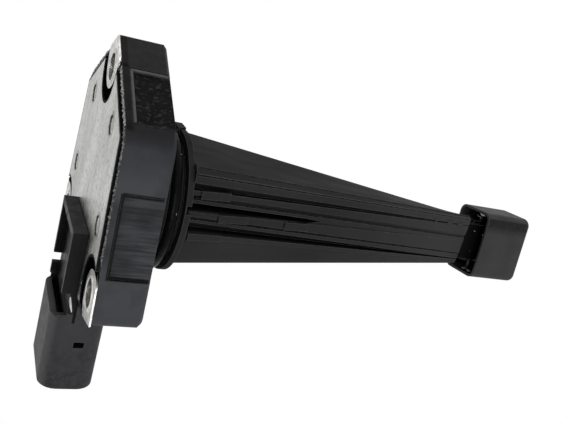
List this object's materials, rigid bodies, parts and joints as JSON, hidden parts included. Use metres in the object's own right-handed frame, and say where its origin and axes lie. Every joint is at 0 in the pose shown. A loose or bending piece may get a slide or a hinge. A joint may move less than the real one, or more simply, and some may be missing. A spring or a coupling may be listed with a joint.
{
  "type": "oil level sensor",
  "caption": "Flanged oil level and temperature sensor with a ribbed tapering black tower under a small cap, a sealed spigot, a bright cover plate and a side connector.",
  "frame": {"origin": "on the tower's axis in the flange's seal face, which is the face turned towards the tower and lies against the sump", "axes": "+Z along the tower towards its cap, +X out of the connector's mouth, +Y to the left of someone who looks along +X with the tower up"},
  "size_m": [0.0884, 0.0688, 0.1451],
  "materials": {
    "flange_housing": "black glass-filled polyamide, finely grained",
    "base_plate": "bright zinc-plated sheet, rolled grain",
    "plate_gasket": "matt black",
    "bolt_bush": "bright turned steel",
    "seal_ring": "black, oily gloss",
    "circuit_board": "green solder mask",
    "main_chip": "black epoxy",
    "capacitor": "bright can",
    "temperature_probe": "black epoxy bead",
    "terminal_pin": "tinned copper alloy",
    "transducer_disc": "fired ceramic",
    "decoupling_pad": "soft grey foam",
    "transducer_holder": "dark moulded ring",
    "tower": "black polyamide, satin",
    "measuring_tube": "drawn tube",
    "tower_cap": "black polyamide, slight sheen"
  },
  "bodies": {
    "root": {"flange_housing": "flange_housing", "base_plate": "base_plate", "plate_gasket": "plate_gasket", "bolt_bush_1": "bolt_bush", "bolt_bush_2": "bolt_bush", "bolt_bush_3": "bolt_bush", "seal_ring": "seal_ring", "circuit_board": "circuit_board", "main_chip": "main_chip", "capacitor_1": "capacitor", "capacitor_2": "capacitor", "temperature_probe": "temperature_probe", "terminal_pin_1": "terminal_pin", "terminal_pin_2": "terminal_pin", "terminal_pin_3": "terminal_pin", "transducer_disc": "transducer_disc", "decoupling_pad": "decoupling_pad", "transducer_holder": "transducer_holder", "tower": "tower", "measuring_tube": "measuring_tube", "tower_cap": "tower_cap"}
  },
  "joints": []
}
